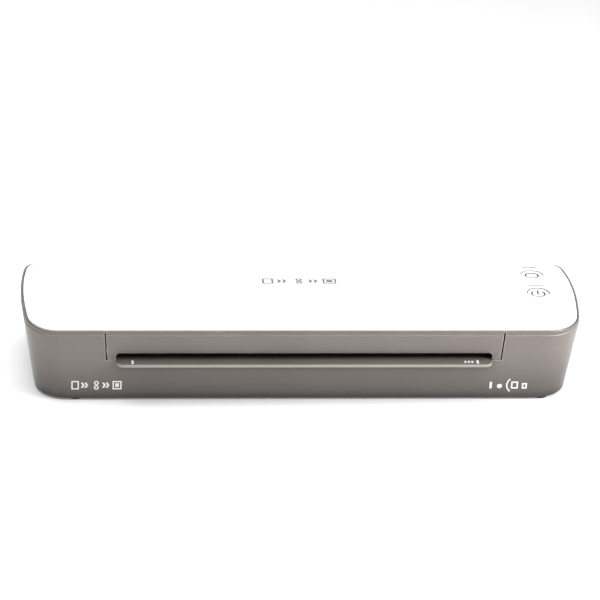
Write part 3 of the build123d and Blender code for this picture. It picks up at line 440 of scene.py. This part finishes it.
def ink(name, shapes, node, toward, material):
    """Lays flat outlines on a CAD surface of the housing as a thin closed layer of ink.

    toward is the direction that the outlines are laid along: "down" takes them as (x, y), and "back" as
    (x, z).
    """
    tree = surface_tree(node)
    down = toward == "down"
    ray = Vector((0, 0, -1)) if down else Vector((0, 1, 0))
    lo, hi = CAD_BOX
    mesh = bmesh.new()
    for shape in shapes:
        flat = bmesh.new()
        corners = [flat.verts.new((a, b, 0)) for a, b in shape]
        flat.faces.new(corners)
        bmesh.ops.triangulate(flat, faces=flat.faces[:])
        for _ in range(4):
            long = [edge for edge in flat.edges if edge.calc_length() > INK_STEP]
            if not long:
                break
            bmesh.ops.subdivide_edges(flat, edges=long, cuts=1)
            bmesh.ops.triangulate(flat, faces=flat.faces[:])
        flat.verts.ensure_lookup_table()
        layers = []
        for sink in (-INK_PROUD, INK_BURIED):
            layer = []
            for vertex in flat.verts:
                if down:
                    start = Vector((vertex.co.x, vertex.co.y, hi.z + INK_START))
                else:
                    start = Vector((vertex.co.x, lo.y - INK_START, vertex.co.y))
                hit = tree.ray_cast(start, ray)[0]
                layer.append(mesh.verts.new(hit + ray * sink))
            layers.append(layer)
        for face in flat.faces:
            order = [vertex.index for vertex in face.verts]
            mesh.faces.new([layers[0][i] for i in order])
            mesh.faces.new([layers[1][i] for i in reversed(order)])
        for edge in flat.edges:
            if len(edge.link_faces) == 1:
                a, b = (vertex.index for vertex in edge.verts)
                mesh.faces.new([layers[0][a], layers[0][b], layers[1][b], layers[1][a]])
        flat.free()
    bmesh.ops.recalc_face_normals(mesh, faces=mesh.faces[:])
    add_piece(name, mesh, material, "housing")


def add_piece(name, mesh, material, body):
    """Turns a bmesh into a piece that rides on a body and takes its finish from a slot."""
    data = bpy.data.meshes.new(name)
    mesh.to_mesh(data)
    mesh.free()
    data.materials.append(material)
    piece = bpy.data.objects.new(name, data)
    bpy.context.scene.collection.objects.link(piece)
    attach(piece, body)


def print_marks(materials):
    """All the marks on the object: pictograms, the lines beside the buttons and the pouch guides."""
    ready_lo, ready_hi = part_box("ready_light_ring")
    power_lo, power_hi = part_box("power_light_ring")
    button_x = (power_lo.x + power_hi.x) / 2
    ready_y = (ready_lo.y + ready_hi.y) / 2
    power_y = (power_lo.y + power_hi.y) / 2
    line = 1.0 * MM
    over_ready = [bar(button_x - 2.9 * MM, ready_y + 13.8 * MM, 4.0 * MM, line),
                  bar(button_x + 2.2 * MM, ready_y + 13.4 * MM, 5.2 * MM, line)]
    over_power = [bar(button_x, power_y + 11.7 * MM, 10.2 * MM, line)]
    ink("top_mark", feed_pictogram(*TOP_MARK), "top_cover", "down", materials["ink_grey"])
    ink("button_lines", over_ready + over_power, "top_cover", "down", materials["ink_label"])
    ink("front_left_mark", feed_pictogram(*FRONT_LEFT_MARK), "lower_housing", "back",
        materials["ink_white"])
    x, z = SIZE_MARK_X, SIZE_MARK_Z
    size_mark = [bar(x - 11.5 * MM, z, 1.6 * MM, 5.0 * MM)]
    size_mark += [bar(x - 5.6 * MM, z - 0.7 * MM, 3.4 * MM, 3.4 * MM, 1.7 * MM)]
    size_mark += [arc_band(x + 5.2 * MM, z, 6.0 * MM, 0.9 * MM, 130, 232)]
    size_mark += frame_bars(x + 4.4 * MM, z, 4.6 * MM, 5.4 * MM, 1.0 * MM)
    size_mark += frame_bars(x + 11.0 * MM, z - 0.6 * MM, 3.4 * MM, 4.2 * MM, 1.0 * MM)
    ink("front_right_mark", size_mark, "lower_housing", "back", materials["ink_white"])
    tray_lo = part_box("entry_tray")[0]
    tick_y = tray_lo.y + 4.2 * MM
    ticks = [bar(x, tick_y, 1.4 * MM, 5.0 * MM) for x in (GUIDE_LEFT, GUIDE_RIGHT)]
    ticks += [bar((105.4 + 2.3 * step) * MM, tick_y, 1.3 * MM, 2.6 * MM) for step in range(3)]
    ink("tray_ticks", ticks, "entry_tray", "down", materials["ink_white"])


# ---------------------------------------------------------------- stage

def area_light(name, place, target, size, power):
    """A white rectangular softbox that faces its target."""
    data = bpy.data.lights.new(name, "AREA")
    data.shape = "RECTANGLE"
    data.size, data.size_y = size
    data.energy = power
    light = bpy.data.objects.new(name, data)
    light.location = place
    light.rotation_euler = (Vector(target) - Vector(place)).to_track_quat("-Z", "Y").to_euler()
    bpy.context.scene.collection.objects.link(light)


def light_stage():
    """White surroundings, brighter to the right, and the softboxes."""
    world = bpy.data.worlds.new("studio")
    world.use_nodes = True
    nodes, links = world.node_tree.nodes, world.node_tree.links
    direction = nodes.new("ShaderNodeTexCoord")
    split = nodes.new("ShaderNodeSeparateXYZ")
    links.new(direction.outputs["Generated"], split.inputs["Vector"])
    across = remap(nodes, links, split.outputs["X"], (-0.9, 0.9), (WORLD_LEFT, WORLD_RIGHT))
    links.new(across, nodes["Background"].inputs["Strength"])
    nodes["Background"].inputs["Color"].default_value = (1.0, 1.0, 1.0, 1.0)
    bpy.context.scene.world = world
    for name, place, target, size, power in SOFTBOXES:
        area_light(name, place, target, size, power)


def lay_floor():
    """A wide pale floor."""
    mesh = bmesh.new()
    bmesh.ops.create_grid(mesh, x_segments=8, y_segments=8, size=FLOOR_HALF)
    data = bpy.data.meshes.new("floor")
    mesh.to_mesh(data)
    mesh.free()
    floor = bpy.data.objects.new("floor", data)
    floor.location.z = CAD_BOX[0].z
    bpy.context.scene.collection.objects.link(floor)
    pale = surface("pale floor", (0.90, 0.90, 0.90), (0.92, 0.92, 0.92), (0.75, 0.85), 40.0, relief=0.0)
    shader = pale.node_tree.nodes["Principled BSDF"]
    shader.inputs["Emission Color"].default_value = (1.0, 1.0, 1.0, 1.0)
    shader.inputs["Emission Strength"].default_value = FLOOR_GLOW
    data.materials.append(pale)


def set_camera():
    """Camera at a long lens, a little to the left and above."""
    data = bpy.data.cameras.new("camera")
    data.lens = CAMERA_LENS
    data.sensor_width = 36.0
    data.clip_start, data.clip_end = 0.05, 30.0
    camera = bpy.data.objects.new("camera", data)
    bpy.context.scene.collection.objects.link(camera)
    a, e = CAMERA_AZIMUTH, CAMERA_ELEVATION
    back = Vector((math.sin(a) * math.cos(e), -math.cos(a) * math.cos(e), math.sin(e)))
    level = Vector((math.cos(a), math.sin(a), 0))
    turn = Matrix.Rotation(CAMERA_ROLL, 3, back)
    right = turn @ level
    up = turn @ back.cross(level)
    place = Vector((0, 0, CAMERA_TARGET_Z)) + back * CAMERA_DISTANCE
    target = Vector((0, 0, CAMERA_TARGET_Z)) + right * AIM_RIGHT + up * AIM_UP
    look = (place - target).normalized()
    side = up.cross(look).normalized()
    axes = Matrix((side, look.cross(side), look)).transposed()
    camera.matrix_world = Matrix.Translation(place) @ axes.to_4x4()
    bpy.context.scene.camera = camera


materials = build_materials()
finish_cad_nodes(materials)
compress_springs()
print_marks(materials)
lay_floor()
light_stage()
set_camera()
bpy.context.scene.view_settings.view_transform = "Standard"
